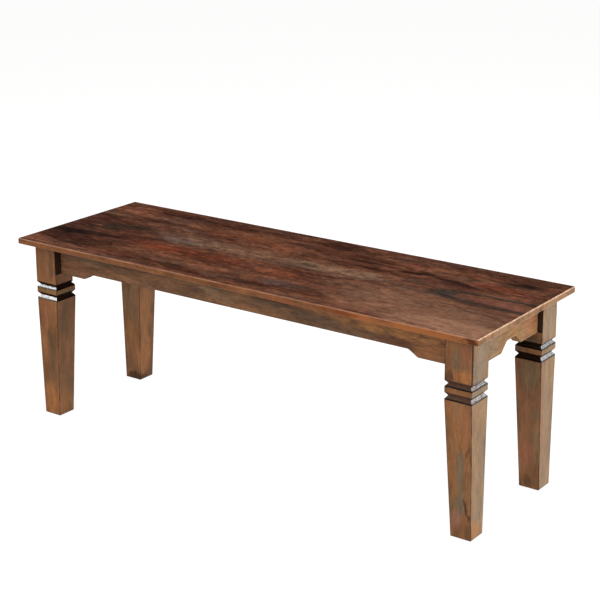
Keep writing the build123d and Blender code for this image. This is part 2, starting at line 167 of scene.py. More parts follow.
def ringLoops(tree, look, wandered, colour):
    # loops of late wood where a growth ring breaks the surface: darkest at an ellipse's rim,
    # where the distance from its middle, counted in half sizes, is 1
    for middle, halfSizes, thickness, tone, strength in look["loops"]:
        inLoop = addNode(tree, "ShaderNodeMapping", {
            "Vector": wandered, "Location": middle, "Scale": halfSizes}, vector_type="TEXTURE")
        away = addNode(tree, "ShaderNodeVectorMath", {0: inLoop.outputs[0]}, operation="LENGTH")
        share = addNode(tree, "ShaderNodeMapRange", {
            "Value": distanceFrom(tree, away.outputs["Value"], 1.0), "From Max": thickness,
            "To Min": strength, "To Max": 0.0}, interpolation_type="SMOOTHSTEP").outputs[0]
        colour = addNode(tree, "ShaderNodeMix", {
            shareIn: share, colourIn: colour, otherColourIn: linearColour(tone)},
            data_type="RGBA").outputs[colourOut]
    return colour


def growthLines(tree, look, wandered):
    # contours of a slow field, each dark on one side and sharp on the other. Real ones are 1 to
    # 4 mm apart, and these are drawn 8 to 16 mm apart, so that they show
    grain, seed = look["grain"], look["seed"]
    length, width, count, darkest = look["growthLines"]
    field = figure(tree, wandered, grain, (length, width), (seed, 3.1, 0),
                   detail=2.0, roughness=0.45)
    climb = addNode(tree, "ShaderNodeMath", {0: field.outputs[0], 1: count}, operation="MULTIPLY")
    saw = addNode(tree, "ShaderNodeMath", {0: climb.outputs[0]}, operation="FRACT")
    fade = figure(tree, wandered, grain, habit["lineFade"], (2.2, seed, 0),
                  detail=3.0, roughness=0.6)
    begins, full = habit["lineFadeRange"]
    atLine = addNode(tree, "ShaderNodeMapRange", {
        "Value": fade.outputs[0], "From Min": begins, "From Max": full,
        "To Min": habit["besideLine"], "To Max": darkest})
    return addNode(tree, "ShaderNodeMapRange", {
        "Value": saw.outputs[0], "From Min": habit["lineSharpens"],
        "To Min": habit["besideLine"], "To Max": atLine.outputs[0]}).outputs[0]


def flecksAndPores(tree, look, wandered, darkening):
    # mottle and flecks, each from darkest to lightest, and pores. The height is the flecks' own
    # less the pores' depth
    grain, seed = look["grain"], look["seed"]
    fleckHeight = 0.0
    begins, full = habit["fleckRange"]
    for length, width, shift, detail, dark, light, deep in look["flecks"]:
        streaks = figure(tree, wandered, grain, (length, width), (shift, seed, -shift),
                         detail=detail, roughness=0.65)
        factor = addNode(tree, "ShaderNodeMapRange", {
            "Value": streaks.outputs[0], "From Min": begins, "From Max": full,
            "To Min": dark, "To Max": light})
        darkening = addNode(tree, "ShaderNodeMath", {0: factor.outputs[0], 1: darkening},
                            operation="MULTIPLY").outputs[0]
        fleckHeight = addNode(tree, "ShaderNodeMath", {
            0: streaks.outputs[0], 1: deep, 2: fleckHeight}, operation="MULTIPLY_ADD").outputs[0]
    pores = figure(tree, wandered, grain, habit["pores"], (0, 5.2, seed), detail=1.0, roughness=0.5)
    begins, full = habit["poreRange"]
    poreDepth = addNode(tree, "ShaderNodeMapRange", {
        "Value": pores.outputs[0], "From Min": begins, "From Max": full},
        interpolation_type="SMOOTHSTEP").outputs[0]
    poreTone = addNode(tree, "ShaderNodeMath", {0: poreDepth, 1: -look["poreDark"], 2: 1.0},
                       operation="MULTIPLY_ADD")
    darkening = addNode(tree, "ShaderNodeMath", {0: darkening, 1: poreTone.outputs[0]},
                        operation="MULTIPLY").outputs[0]
    height = addNode(tree, "ShaderNodeMath", {0: poreDepth, 1: -1.0, 2: fleckHeight},
                     operation="MULTIPLY_ADD").outputs[0]
    return darkening, height


def arrisWearAndHighlights(tree, look, facing, wear, colour):
    # tones along the roundings, broken by the wear: painted highlights on the top's arrises, partly
    # worn lacquer, and dark lines on the aprons'. The product of the normal's two parts is 1/2 in
    # the middle of a rounding, and 0 beside it
    wearBegins, wearFull = habit["wearRange"]
    begins, full = habit["arrisRange"]
    for firstAxes, secondAxes, tone, strength in look["arrises"]:
        parts = [turnedTo(tree, facing, axes) for axes in (firstAxes, secondAxes)]
        rounding = addNode(tree, "ShaderNodeMath", {0: parts[0], 1: parts[1]},
                           operation="MULTIPLY")
        onArris = addNode(tree, "ShaderNodeMapRange", {
            "Value": rounding.outputs[0], "From Min": begins, "From Max": full,
            "To Max": strength}, interpolation_type="SMOOTHSTEP")
        uneven = addNode(tree, "ShaderNodeMapRange", {
            "Value": wear, "From Min": wearBegins, "From Max": wearFull,
            "To Min": habit["leastWear"]})
        share = addNode(tree, "ShaderNodeMath", {0: onArris.outputs[0], 1: uneven.outputs[0]},
                        operation="MULTIPLY").outputs[0]
        colour = addNode(tree, "ShaderNodeMix", {
            shareIn: share, colourIn: colour, otherColourIn: linearColour(tone)},
            data_type="RGBA").outputs[colourOut]
    return colour


def darkPostArrises(tree, post, place, wear, colour):
    # the upright arrises of a tapered leg, where the stain stayed dark: how far a point is inside
    # the square whose half width grows from the foot to the block, and whose outer side is upright
    away = addNode(tree, "ShaderNodeVectorMath", {0: place}, operation="ABSOLUTE")
    x, y, z = addNode(tree, "ShaderNodeSeparateXYZ", {0: away.outputs[0]}).outputs
    halfWidth = addNode(tree, "ShaderNodeMapRange", {
        "Value": z, "From Min": post["low"], "From Max": post["high"],
        "To Min": post["foot"], "To Max": post["block"]}).outputs[0]
    middleX = addNode(tree, "ShaderNodeMath", {0: post["outerX"], 1: halfWidth},
                      operation="SUBTRACT").outputs[0]
    nearer = addNode(tree, "ShaderNodeMath", {
        0: distanceFrom(tree, x, middleX), 1: distanceFrom(tree, y, post["middleY"])},
        operation="MINIMUM")
    inward = addNode(tree, "ShaderNodeMath", {0: halfWidth, 1: nearer.outputs[0]},
                     operation="SUBTRACT")
    begins, full = post["widthRange"]
    lineWidth = addNode(tree, "ShaderNodeMapRange", {
        "Value": wear, "From Min": begins, "From Max": full,
        "To Min": post["thinnest"], "To Max": post["widest"]})
    share = addNode(tree, "ShaderNodeMapRange", {
        "Value": inward.outputs[0], "From Min": post["fullTo"], "From Max": lineWidth.outputs[0],
        "To Min": post["strength"], "To Max": 0.0}).outputs[0]
    return addNode(tree, "ShaderNodeMix", {
        shareIn: share, colourIn: colour, otherColourIn: linearColour(post["tone"])},
        data_type="RGBA").outputs[colourOut]


def stainAndPaintedShade(tree, look, place, colour, film):
    # dark boxes, each mirrored to all four corners of the bench, are darkened and may lose their
    # film:
    # painted shade beside the aprons, at the grooves' lips and at the foot, dark stain deepened by
    # painted shade in the grooves, and a dark arris line. A point is inside a box by the least of
    # the three half sizes less its distances from the middle
    mirrored = addNode(tree, "ShaderNodeVectorMath", {0: place}, operation="ABSOLUTE").outputs[0]
    blur = habit["boxBlur"]
    for low, high, tone, strength, dulled in look["stainAndShade"]:
        middle = [(a + b) / 2 for a, b in zip(low, high)]
        half = [(b - a) / 2 for a, b in zip(low, high)]
        apart = addNode(tree, "ShaderNodeVectorMath", {0: mirrored, 1: middle},
                        operation="SUBTRACT")
        away = addNode(tree, "ShaderNodeVectorMath", {0: apart.outputs[0]}, operation="ABSOLUTE")
        inside = addNode(tree, "ShaderNodeVectorMath", {0: half, 1: away.outputs[0]},
                         operation="SUBTRACT")
        x, y, z = addNode(tree, "ShaderNodeSeparateXYZ", {0: inside.outputs[0]}).outputs
        leastXY = addNode(tree, "ShaderNodeMath", {0: x, 1: y}, operation="MINIMUM")
        least = addNode(tree, "ShaderNodeMath", {0: leastXY.outputs[0], 1: z},
                        operation="MINIMUM")
        share = addNode(tree, "ShaderNodeMapRange", {
            "Value": least.outputs[0], "From Min": -blur, "From Max": blur,
            "To Max": strength}).outputs[0]
        colour = addNode(tree, "ShaderNodeMix", {
            shareIn: share, colourIn: colour, otherColourIn: linearColour(tone)},
            data_type="RGBA").outputs[colourOut]
        filmLeft = addNode(tree, "ShaderNodeMath", {0: share, 1: -dulled, 2: 1.0},
                           operation="MULTIPLY_ADD")
        film = addNode(tree, "ShaderNodeMath", {0: film, 1: filmLeft.outputs[0]},
                       operation="MULTIPLY").outputs[0]
    return colour, film


def rosewood(name, look):
    # Sheesham, an Indian rosewood, planed, sanded, stained brown and sprayed with satin lacquer.
    # What the eye gets: a red-brown ground with dark heartwood, rust and olive-grey clouds, fine
    # growth lines and short flecks along the grain, and a film that mirrors a lamp in the grooves
    material, tree = newMaterial(name)
    grain, seed = look["grain"], look["seed"]
    coordinates = addNode(tree, "ShaderNodeTexCoord")
    place = coordinates.outputs["Object"]
    facing = addNode(tree, "ShaderNodeVectorMath", {0: coordinates.outputs["Normal"]},
                     operation="ABSOLUTE").outputs[0]

    # the grain wanders in slow waves, and its clouds have ragged ends
    waves = figure(tree, place, grain, habit["wander"], (seed, 0, 0), detail=2.0, roughness=0.55)
    wandered = bend(tree, place, waves.outputs["Color"], byGrain(grain, *habit["wanderPull"]))
    ragged = figure(tree, place, grain, habit["raggedEnds"], (0, seed, 0),
                    detail=5.0, roughness=0.7)
    flow = bend(tree, wandered, ragged.outputs["Color"],
                byGrain(grain, look["ragged"], look["ragged"] * habit["raggedAcross"]))
    broken = figure(tree, wandered, grain, look["broken"], (seed, 7.7, 0),
                    detail=5.0, roughness=0.7)
    begins, full = habit["patchRange"]
    weakest, strongest = habit["patchStrength"]
    patchy = addNode(tree, "ShaderNodeMapRange", {
        "Value": broken.outputs[0], "From Min": begins, "From Max": full,
        "To Min": weakest, "To Max": strongest}).outputs[0]
    wear = figure(tree, place, grain, habit["wear"], (seed, 0, 4.4),
                  detail=3.0, roughness=0.7).outputs[0]

    colour = heartwood(tree, look, flow)
    colour = stain(tree, colour, flow, patchy, look["marks"])
    colour = ringLoops(tree, look, wandered, colour)

    # calm is where flecks are fewer: a zone of painted sheen at the top's front right, and the
    # faces below
    calm = 0.0
    for middle, halfSizes, strength in look["calmZones"]:
        blob = fadingBlob(tree, place, middle, halfSizes)
        calm = addNode(tree, "ShaderNodeMath", {0: blob, 1: strength, 2: calm},
                       operation="MULTIPLY_ADD").outputs[0]

    # the faces' own tones: sides, edges and end grain take the stain differently, and the right
    # legs' lighter sides are painted light
    for face in look["faces"]:
        begins, full = face["turned"]
        patches = figure(tree, flow, grain, face["patches"], (seed, 0, 9.4),
                         detail=4.0, roughness=0.65)
        tone = addNode(tree, "ShaderNodeValToRGB", {0: patches.outputs[0]},
                       stops=face["tones"]).outputs[0]
        tone = stain(tree, tone, flow, patchy, face["marks"])
        share = addNode(tree, "ShaderNodeMapRange", {
            "Value": turnedTo(tree, facing, face["axes"]), "From Min": begins,
            "From Max": full}, interpolation_type="SMOOTHSTEP").outputs[0]
        colour = addNode(tree, "ShaderNodeMix", {
            shareIn: share, colourIn: colour, otherColourIn: tone},
            data_type="RGBA").outputs[colourOut]
        calm = addNode(tree, "ShaderNodeMath", {0: share, 1: look["calm"], 2: calm},
                       operation="MULTIPLY_ADD").outputs[0]
    colour = stain(tree, colour, flow, patchy, look["sideMarks"])

    darkening = growthLines(tree, look, wandered)
    darkening, height = flecksAndPores(tree, look, wandered, darkening)
    darkening = addNode(tree, "ShaderNodeMix", {
        shareIn: calm, numberIn: darkening, otherNumberIn: 1.0}).outputs[0]
    colour = addNode(tree, "ShaderNodeVectorMath", {0: colour, "Scale": darkening},
                     operation="SCALE").outputs[0]
    colour = arrisWearAndHighlights(tree, look, facing, wear, colour)
    if "post" in look:
        colour = darkPostArrises(tree, look["post"], place, wear, colour)

    # the lacquer film, broken into short strokes across the grain where filmBreaks is under 1
    strokes = figure(tree, place, grain, habit["filmStrokes"], (seed, 6.6, 0),
                     detail=2.0, roughness=0.6)
    begins, full = habit["strokeRange"]
    film = addNode(tree, "ShaderNodeMapRange", {
        "Value": strokes.outputs[0], "From Min": begins, "From Max": full,
        "To Min": look["coat"] * look["filmBreaks"], "To Max": look["coat"]}).outputs[0]
    colour, film = stainAndPaintedShade(tree, look, place, colour, film)

    # satin lacquer: the film carries the gloss, and pores and flecks telegraph through it
    begins, full = habit["glossRange"]
    roughness = addNode(tree, "ShaderNodeMapRange", {
        "Value": wear, "From Min": begins, "From Max": full,
        "To Min": look["roughness"] + habit["rougher"],
        "To Max": look["roughness"] - habit["smoother"]})
    bump = addNode(tree, "ShaderNodeBump", {
        "Height": height, "Strength": habit["grainStrength"], "Distance": habit["grainDepth"]})
    runs = addNode(tree, "ShaderNodeTexNoise", {
        "Vector": place, "Scale": habit["filmRuns"], "Detail": 2.0})
    filmBump = addNode(tree, "ShaderNodeBump", {
        "Height": runs.outputs[0], "Strength": habit["runsStrength"],
        "Distance": look["filmRipple"]})
    shader = addNode(tree, "ShaderNodeBsdfPrincipled", {
        "Base Color": colour, "Roughness": roughness.outputs[0], "IOR": 1.5,
        "Specular IOR Level": look["specular"], "Coat Weight": film,
        "Coat Roughness": look["coatRoughness"], "Coat IOR": 1.5,
        "Normal": bump.outputs[0], "Coat Normal": filmBump.outputs[0]})
    addNode(tree, "ShaderNodeOutputMaterial", {0: shader.outputs[0]})
    return material


# marks of the top, seen from above: x, y, half length, half width (m), turn (degrees), tone and
# strength
topMarks = [
    (-0.520, -0.060, 0.240, 0.150, 0, "#2c1812", 0.50),    # the left end is darker
    (-0.100, 0.180, 0.450, 0.050, 0, "#3a1f15", 0.60),     # the rear edge is darker
    (0.480, 0.190, 0.250, 0.040, 0, "#40251a", 0.55),
    (-0.540, 0.150, 0.070, 0.035, 0, "#6e4232", 0.60),     # pink-brown, rear left
    (-0.590, 0.010, 0.070, 0.080, 0, "#3c201b", 0.75),     # maroon, left end
    (-0.495, 0.000, 0.110, 0.040, 24, "#2c2018", 0.80),    # dark olive
    (-0.480, -0.140, 0.160, 0.050, 0, "#301911", 0.80),    # dark, front left
    (-0.600, -0.175, 0.070, 0.034, 0, "#6b4030", 0.60),    # paler corner
    (-0.560, -0.083, 0.080, 0.024, 0, "#180c09", 0.85),    # black heartwood
    (-0.470, -0.068, 0.130, 0.011, 0, "#1f0f0b", 0.80),
    (-0.590, 0.076, 0.100, 0.011, 0, "#27140f", 0.75),
    (-0.430, 0.100, 0.100, 0.011, 0, "#2d1811", 0.65),
    (-0.242, 0.165, 0.060, 0.030, 0, "#33190f", 0.65),
    (-0.110, 0.168, 0.060, 0.024, 0, "#3c2119", 0.55),
    (0.042, 0.172, 0.080, 0.036, 0, "#26120b", 0.75),
    (-0.140, 0.092, 0.200, 0.036, 0, "#5e3421", 0.70),     # orange band
    (-0.150, 0.010, 0.300, 0.042, 0, "#6c513f", 0.60),     # tan-grey band
    (-0.290, -0.008, 0.080, 0.036, 0, "#4f413b", 0.60),    # grey cloud
    (0.140, 0.008, 0.200, 0.040, 0, "#6f5644", 0.65),
    (0.070, 0.000, 0.050, 0.016, 0, "#382d25", 0.60),
    (-0.200, -0.070, 0.260, 0.038, 0, "#582a1b", 0.85),    # rust-red band
    (-0.290, -0.085, 0.070, 0.028, 0, "#65301d", 0.65),
    (0.050, -0.078, 0.070, 0.036, 0, "#663521", 0.65),
    (0.170, 0.098, 0.110, 0.011, 0, "#2a140f", 0.75),
    (0.305, 0.094, 0.080, 0.011, 10, "#1f0e0a", 0.90),     # dark line
    (0.390, 0.083, 0.110, 0.012, -6, "#1f0e0a", 0.80),
    (0.498, 0.098, 0.090, 0.025, 0, "#5c2b1c", 0.60),      # rust
    (0.585, 0.082, 0.060, 0.016, 0, "#5f3122", 0.50),
    (0.545, 0.142, 0.065, 0.026, 0, "#200f0b", 0.85),      # dark knot shade
    (0.262, 0.142, 0.030, 0.018, 0, "#64322a", 0.55),
    (0.091, -0.146, 0.080, 0.022, 0, "#44332f", 0.65),     # purple-grey
    (0.278, -0.116, 0.050, 0.020, 0, "#4b3a3a", 0.55),
    (-0.380, -0.175, 0.130, 0.030, 0, "#5c3424", 0.50),
    (0.330, -0.060, 0.240, 0.070, 0, "#644636", 0.60),
    (0.480, -0.130, 0.340, 0.110, 0, "#6e4e3c", 0.60),     # tan, front right: painted sheen on the wood's tan, with the next mark
    (0.560, -0.175, 0.220, 0.060, 0, "#7d5a46", 0.75),
    (0.560, 0.005, 0.090, 0.022, 0, "#6c4439", 0.60),      # inside the loop
    (0.430, 0.006, 0.045, 0.020, 0, "#2a2621", 0.75),      # the loop's tip
]
topMiddle, markDepth = 0.443, 0.05    # height of the boards' middle, and half height of a mark (m)

topLook = dict(
    grain="x", seed=2.0, ragged=0.070, clouds=(0.24, 0.050), broken=(0.060, 0.016),
    roughness=0.42, specular=0.07, coat=0.08, coatRoughness=0.22, filmRipple=0.0004,
    filmBreaks=1.0, poreDark=0.36, calm=0.65,
    growthLines=(0.80, 0.15, 22.0, 0.60),    # length, width (m), lines in the field, darkest
    # length, width (m), shift, detail, darkest, lightest, height
    flecks=[(0.060, 0.016, 1.3, 4.0, 0.76, 1.20, 0.5), (0.020, 0.0080, 6.1, 2.0, 0.68, 1.34, 0.8),
            (0.045, 0.0085, 3.9, 3.0, 0.76, 1.26, 0.4), (0.009, 0.0070, 8.7, 1.0, 0.85, 1.16, 0.5)],
    tones=[(0.28, "#26130d"), (0.40, "#3e2116"), (0.50, "#513021"), (0.60, "#5f3927"),
           (0.72, "#714b3b")],
    olive="#53433a", oliveShare=0.45,
    marks=[((x, y, topMiddle), (halfLength, halfWidth, markDepth), tone, strength, (0, 0, turn))
           for x, y, halfLength, halfWidth, turn, tone, strength in topMarks],
    sideMarks=[],
    # painted sheen: fewer flecks at the front right, where the lacquer's haze would calm the figure
    calmZones=[((0.580, -0.150, topMiddle), (0.520, 0.240, 0.4), 0.60)],
    # middle, half sizes, thickness of the rim, tone, strength
    loops=[((0.560, 0.008, topMiddle), (0.155, 0.031, 0.6), 0.30, "#2c2721", 0.95),
           ((0.560, 0.008, topMiddle), (0.105, 0.018, 0.6), 0.16, "#40302a", 0.45)],
    faces=[
        # front and rear edges: red-brown, orange to the right, dark at the right corner
        dict(axes=(0, 1, 0), turned=(0.55, 0.85), patches=(0.06, 0.03),
             tones=[(0.30, "#513220"), (0.45, "#643f27"), (0.58, "#6e452a"), (0.72, "#5f3f2b")],
             marks=[((0.480, -0.2075, 0.443), (0.230, 0.02, 0.03), "#895029", 0.75),
                    ((0.285, -0.2075, 0.446), (0.080, 0.02, 0.010), "#5f2d14", 0.75),
                    ((-0.020, -0.2075, 0.446), (0.060, 0.02, 0.010), "#58331f", 0.60),
                    ((0.150, -0.2075, 0.440), (0.060, 0.02, 0.008), "#7a4025", 0.60),
                    ((0.616, -0.2075, 0.443), (0.020, 0.02, 0.03), "#43200f", 0.90)]),
        # ends: pale end grain with golden and pink patches
        dict(axes=(1, 0, 0), turned=(0.55, 0.85), patches=(0.03, 0.04), marks=[],
             tones=[(0.30, "#66462f"), (0.45, "#826146"), (0.58, "#947254"), (0.72, "#856655")]),
    ],
    # the two sets of axes that a rounding turns between, tone, strength: painted highlights along
    # the rounded arrises, the front ones partly worn lacquer, the ends' a bright cream glint
    arrises=[((0, 0, 1), (1, 1, 0), "#a0745c", 0.45), ((0, 0, 1), (1, 0, 0), "#cbab8c", 0.70)],
    stainAndShade=[],
)

sides = dict(axes=(1, 0, 0), turned=(0.85, 0.95), patches=(0.10, 0.03), marks=[],
             tones=[(0.30, "#5c3f2a"), (0.45, "#6a4930"), (0.58, "#785033"), (0.72, "#6e533b")])
# the right legs' sides in lighter tones: painted light, as these sides face the open right, while
# the left legs' sides face in under the bench
litSides = {**sides, "tones": [(0.30, "#735a40"), (0.45, "#866849"), (0.58, "#92704e"),
                                (0.72, "#827158")]}

grooves = [(0.2985, 0.3149), (0.3256, 0.3410)]    # the heights of the two V grooves (m)
grooveLips = [(0.2985, 0.3013), (0.3256, 0.3285)]


def legStainAndShade(grooveTone):
    # each box is its low and high corner (m), tone, strength and the share of the film it loses
    # painted shade in the narrow recess between each leg and its aprons, above the aprons' lower
    # edge
    beside = [((0.5330, 0.1585, 0.365), (0.5350, 0.1900, 0.437), "#0e0806", 0.95, 0.0),
              ((0.5855, 0.1135, 0.365), (0.6100, 0.1155, 0.437), "#0e0806", 0.95, 0.0)]
    # the V grooves: dark stain, deepened towards black as painted shade
    inGrooves = [((0.5300, 0.1100, low), (0.6000, 0.1900, high), grooveTone, 0.95, 0.0)
                 for low, high in grooves]
    # painted shade: a near-black line along each groove's lower lip, where the film is taken away
    # so it mirrors nothing
    lipShade = [((0.5300, 0.1100, low), (0.6000, 0.1900, high), "#040201", 0.95, 1.0)
              for low, high in grooveLips]
    # painted shade along the foot's lowest edge
    footShade = ((0.5300, 0.1100, 0.0000), (0.6000, 0.1900, 0.0050), "#2a1910", 0.50, 0.0)
    return beside + inGrooves + lipShade + [footShade]


blockArris = ((0.5958, 0.1758, 0.340), (0.6000, 0.1800, 0.437), "#2c180e", 0.75, 0.0)

legLook = dict(
    grain="z", seed=7.0, ragged=0.036, clouds=(0.13, 0.042), broken=(0.040, 0.014),
    roughness=0.36, specular=0.2, coat=1.0, coatRoughness=0.11, filmRipple=0.0007,
    filmBreaks=0.6, poreDark=0.12, calm=0.0,
    growthLines=(0.45, 0.06, 9.0, 0.86),
    flecks=[(0.070, 0.012, 1.3, 4.0, 0.90, 1.09, 0.4), (0.024, 0.0050, 6.1, 2.0, 0.90, 1.10, 0.6)],
    tones=[(0.28, "#4f3320"), (0.40, "#644228"), (0.50, "#724b2d"), (0.60, "#7d5230"),
           (0.74, "#74573b")],
    olive="#594c38", oliveShare=0.60,
    marks=[], sideMarks=[], calmZones=[], loops=[], arrises=[], faces=[sides],
    # the leg's outer side, its middle, the heights and half widths of its taper, and the dark
    # line at its arrises (m)
    post=dict(outerX=0.598, middleY=0.1465, low=0.0035, high=0.2995, foot=0.024, block=0.032,
              thinnest=0.0007, widest=0.0028, widthRange=(0.40, 0.60), fullTo=0.0002,
              tone="#1a0f0a", strength=0.85),
    stainAndShade=legStainAndShade("#060302"),
)

frontLeftMarks = [
    ((-0.576, -0.178, 0.388), (0.010, 0.03, 0.050), "#6e4127", 0.70),
    ((-0.548, -0.178, 0.390), (0.012, 0.03, 0.050), "#50392a", 0.65),
    ((-0.566, -0.178, 0.372), (0.034, 0.03, 0.050), "#64402a", 0.45),
    ((-0.566, -0.150, 0.3205), (0.060, 0.060, 0.010), "#69552f", 0.70),    # the collar
    ((-0.573, -0.177, 0.262), (0.024, 0.03, 0.050), "#7a4b30", 0.60),
    ((-0.560, -0.175, 0.160), (0.016, 0.03, 0.070), "#574733", 0.45),
    ((-0.583, -0.175, 0.120), (0.007, 0.03, 0.034), "#4f3424", 0.40, (0, 10, 0)),
    ((-0.573, -0.173, 0.040), (0.036, 0.03, 0.060), "#87562f", 0.75),
    ((-0.536, -0.150, 0.240), (0.02, 0.026, 0.060), "#5b4934", 0.50),
    ((-0.542, -0.140, 0.090), (0.02, 0.022, 0.060), "#684d34", 0.60),
    ((-0.545, -0.150, 0.035), (0.02, 0.028, 0.040), "#7c5230", 0.70),
]
frontRightMarks = [
    ((0.599, -0.147, 0.385), (0.02, 0.040, 0.060), "#80725f", 0.55),
    ((0.582, -0.178, 0.408), (0.022, 0.03, 0.034), "#79472f", 0.60),
    ((0.560, -0.178, 0.388), (0.012, 0.03, 0.040), "#5c4b39", 0.65, (0, 6, 0)),
    ((0.574, -0.178, 0.360), (0.026, 0.03, 0.022), "#8e5a2f", 0.75),
    ((0.544, -0.178, 0.353), (0.014, 0.03, 0.016), "#3e281b", 0.65),
    ((0.581, -0.177, 0.258), (0.020, 0.03, 0.050), "#845434", 0.60),
    ((0.569, -0.175, 0.158), (0.010, 0.03, 0.060), "#5f5645", 0.70, (0, 4, 0)),
    ((0.573, -0.173, 0.082), (0.014, 0.03, 0.040), "#5e5443", 0.70),
    ((0.587, -0.172, 0.068), (0.0060, 0.03, 0.038), "#35231a", 0.85, (0, -17, 0)),
    ((0.588, -0.175, 0.205), (0.0045, 0.03, 0.020), "#462f20", 0.60, (0, 22, 0)),
    ((0.564, -0.172, 0.046), (0.018, 0.03, 0.034), "#7e5645", 0.65),
    ((0.593, -0.171, 0.020), (0.014, 0.03, 0.022), "#4d3826", 0.60),
    ((0.599, -0.147, 0.3205), (0.02, 0.045, 0.010), "#7f705c", 0.60),    # the collar
    ((0.599, -0.125, 0.168), (0.02, 0.012, 0.085), "#6f6657", 0.80),
    ((0.599, -0.152, 0.024), (0.02, 0.018, 0.026), "#a06b34", 0.95),
    ((0.599, -0.138, 0.066), (0.02, 0.014, 0.036), "#746550", 0.75),
]
rearRightMarks = [
    ((0.570, 0.118, 0.150), (0.060, 0.03, 0.200), "#83593b", 0.50),
    ((0.566, 0.114, 0.352), (0.040, 0.03, 0.018), "#54402a", 0.75),
    ((0.599, 0.147, 0.390), (0.02, 0.040, 0.050), "#8c7d68", 0.40),
    ((0.567, 0.116, 0.268), (0.034, 0.03, 0.050), "#6c5a3f", 0.60),
    ((0.559, 0.117, 0.190), (0.014, 0.03, 0.036), "#8c5c3f", 0.55),
    ((0.583, 0.117, 0.176), (0.012, 0.03, 0.024), "#5e5944", 0.60),
    ((0.566, 0.120, 0.082), (0.022, 0.03, 0.040), "#87523a", 0.60),
    ((0.589, 0.120, 0.110), (0.010, 0.03, 0.060), "#7a6346", 0.60),
    ((0.563, 0.122, 0.020), (0.028, 0.03, 0.024), "#432d1e", 0.60),
    ((0.600, 0.140, 0.200), (0.02, 0.014, 0.080), "#8f7359", 0.55),
]
rearLeftMarks = [
    ((-0.568, 0.116, 0.220), (0.034, 0.03, 0.090), "#64503a", 0.60),
    ((-0.578, 0.120, 0.070), (0.024, 0.03, 0.070), "#6f4c33", 0.60),
    ((-0.539, 0.140, 0.200), (0.02, 0.030, 0.100), "#885b38", 0.80),
    ((-0.544, 0.140, 0.070), (0.02, 0.030, 0.080), "#8b5b34", 0.80),
    # painted shade along the foot
    ((-0.563, 0.130, 0.010), (0.05, 0.04, 0.020), "#2e1d13", 0.75),
]

apronLook = dict(
    grain="x", seed=11.0, ragged=0.045, clouds=(0.20, 0.030), broken=(0.040, 0.012),
    roughness=0.42, specular=0.2, coat=0.3, coatRoughness=0.2, filmRipple=0.0004,
    filmBreaks=1.0, poreDark=0.2, calm=0.0,
    growthLines=(0.60, 0.05, 10.0, 0.74),
    flecks=[(0.050, 0.010, 1.3, 4.0, 0.84, 1.14, 0.4), (0.018, 0.0050, 6.1, 2.0, 0.84, 1.16, 0.6)],
    tones=[(0.28, "#422d1f"), (0.40, "#533a28"), (0.50, "#62442f"), (0.60, "#6f4b30"),
           (0.74, "#604a3a")],
    olive="#504438", oliveShare=0.40,
    marks=[
        ((0.500, -0.160, 0.400), (0.080, 0.03, 0.060), "#7a4d2c", 0.80),    # orange, right end
        ((0.400, -0.160, 0.385), (0.060, 0.03, 0.030), "#5f3a26", 0.60),
        ((-0.430, -0.160, 0.425), (0.120, 0.03, 0.020), "#50452f", 0.65),
        ((-0.480, -0.160, 0.385), (0.060, 0.03, 0.020), "#6a4230", 0.60),
        ((-0.060, -0.160, 0.395), (0.060, 0.03, 0.014), "#7e6046", 0.60, (0, 12, 0)),
        ((0.200, -0.160, 0.392), (0.110, 0.03, 0.018), "#463628", 0.55),
        # the next three: painted light under the top, lifting the shadow of its overhang
        ((0.330, -0.160, 0.430), (0.320, 0.03, 0.034), "#855731", 0.80),    # warm under the top, painted light
        ((0.020, -0.160, 0.434), (0.200, 0.03, 0.018), "#775740", 0.70),
        ((0.430, -0.160, 0.414), (0.200, 0.03, 0.022), "#86592f", 0.60),
    ],
    sideMarks=[], calmZones=[], loops=[], faces=[],
    arrises=[((0, 1, 0), (1, 0, 1), "#3a2618", 0.6)],
    stainAndShade=[],
)
endApronLook = {
    **apronLook, "grain": "y", "marks": [],
    "tones": [(0.28, "#604833"), (0.40, "#7a5c40"), (0.50, "#8c6949"), (0.60, "#976f45"),
              (0.74, "#897055")],
    "arrises": [((1, 0, 0), (0, 1, 1), "#3a2618", 0.6)],
}
rightApronMarks = [
    ((0.586, 0.080, 0.400), (0.03, 0.045, 0.050), "#98603f", 0.65),
    ((0.586, -0.090, 0.400), (0.03, 0.050, 0.050), "#86725b", 0.60),
    ((0.586, 0.010, 0.388), (0.03, 0.035, 0.026), "#a2733f", 0.50),
]

# each wood's look and the pieces that are cut from it
woods = {
    "top": (topLook, ["top_board_front", "top_board_middle", "top_board_rear"]),
    "leg front left": (
        {**legLook, "oliveShare": 0.30, "sideMarks": frontLeftMarks}, ["leg_front_left"]),
    "leg front right": (
        {**legLook, "seed": 13.0, "faces": [litSides], "filmRipple": 0.0026,
         "sideMarks": frontRightMarks, "stainAndShade": legStainAndShade("#442d22") + [blockArris]},
        ["leg_front_right"]),
    "leg rear left": (
        {**legLook, "seed": 17.0, "oliveShare": 0.30, "sideMarks": rearLeftMarks},
        ["leg_rear_left"]),
    "leg rear right": (
        {**legLook, "seed": 19.0, "faces": [litSides], "filmRipple": 0.0026,
         "filmBreaks": 0.85, "sideMarks": rearRightMarks},
        ["leg_rear_right"]),
    "apron front": (apronLook, ["apron_front"]),
    "apron rear": ({**apronLook, "seed": 23.0}, ["apron_rear"]),
    "apron left": ({**endApronLook, "seed": 29.0}, ["apron_left"]),
    "apron right": ({**endApronLook, "seed": 31.0, "marks": rightApronMarks}, ["apron_right"]),
}
for wood, (look, names) in woods.items():
    dress(names, rosewood("rosewood " + wood, look))
print("rosewood done:", len(woods), "boards' worth")


